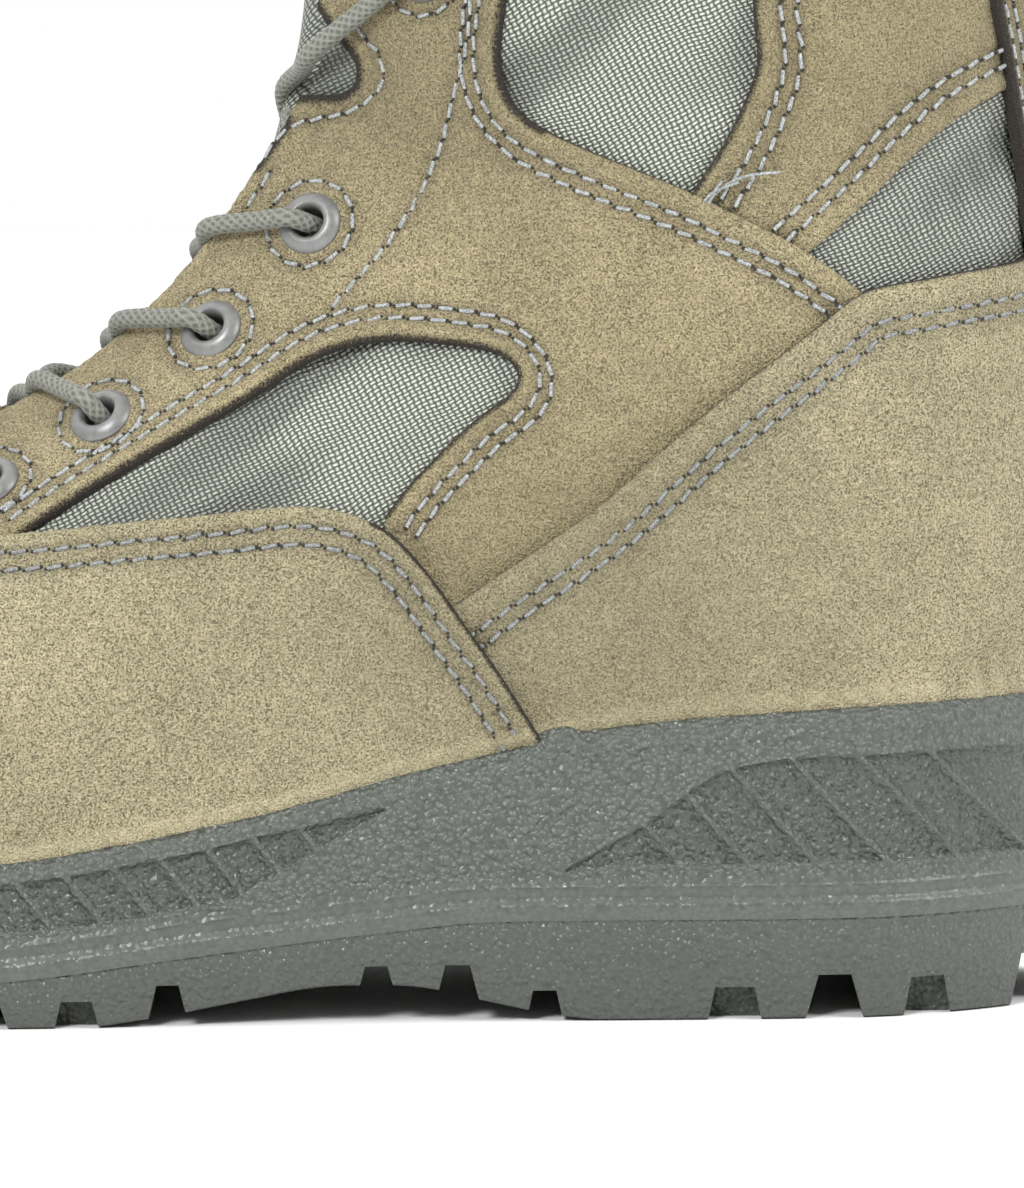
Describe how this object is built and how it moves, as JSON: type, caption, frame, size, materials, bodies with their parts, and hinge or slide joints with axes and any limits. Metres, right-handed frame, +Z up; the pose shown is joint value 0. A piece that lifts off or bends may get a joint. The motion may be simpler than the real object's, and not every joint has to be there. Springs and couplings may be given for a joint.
{
  "type": "military boot",
  "caption": "Left lace-up combat boot with a suede and woven upper, eight-inch shaft, cupped foam midsole with barred side panels and a lugged rubber outsole.",
  "frame": {"origin": "centre of the boot's footprint box, on the floor", "axes": "+X from heel to toe, +Y to the lateral (left) side, +Z up"},
  "size_m": [0.3046, 0.1102, 0.258],
  "materials": {
    "suede": "sage tan suede with a short nap, matt",
    "nylon": "sage woven nylon, basket weave of about 1 mm",
    "sole_rubber": "grey-green moulded rubber, satin",
    "midsole_foam": "grey-green moulded foam with a pebbled skin, satin",
    "lace_cord": "round braided sage cord",
    "eyelet_metal": "satin grey coated metal",
    "insole_fabric": "dark fabric-covered footbed, matt"
  },
  "bodies": {
    "root": {"outsole": "sole_rubber", "midsole": "midsole_foam", "insole": "insole_fabric", "upper": "nylon", "tongue": "nylon", "vamp_panel": "suede", "heel_counter": "suede", "quarter_lateral": "suede", "quarter_medial": "suede", "shaft_panel_lateral": "suede", "shaft_panel_medial": "suede", "backstay": "suede", "collar_band": "suede", "eyelet_lateral_1": "eyelet_metal", "eyelet_lateral_2": "eyelet_metal", "eyelet_lateral_3": "eyelet_metal", "eyelet_lateral_4": "eyelet_metal", "eyelet_lateral_5": "eyelet_metal", "eyelet_lateral_6": "eyelet_metal", "eyelet_lateral_7": "eyelet_metal", "eyelet_medial_1": "eyelet_metal", "eyelet_medial_2": "eyelet_metal", "eyelet_medial_3": "eyelet_metal", "eyelet_medial_4": "eyelet_metal", "eyelet_medial_5": "eyelet_metal", "eyelet_medial_6": "eyelet_metal", "eyelet_medial_7": "eyelet_metal", "lace_bar": "lace_cord", "lace_cross_1": "lace_cord", "lace_cross_2": "lace_cord", "lace_cross_3": "lace_cord", "lace_cross_4": "lace_cord", "lace_cross_5": "lace_cord", "lace_cross_6": "lace_cord"}
  },
  "joints": []
}
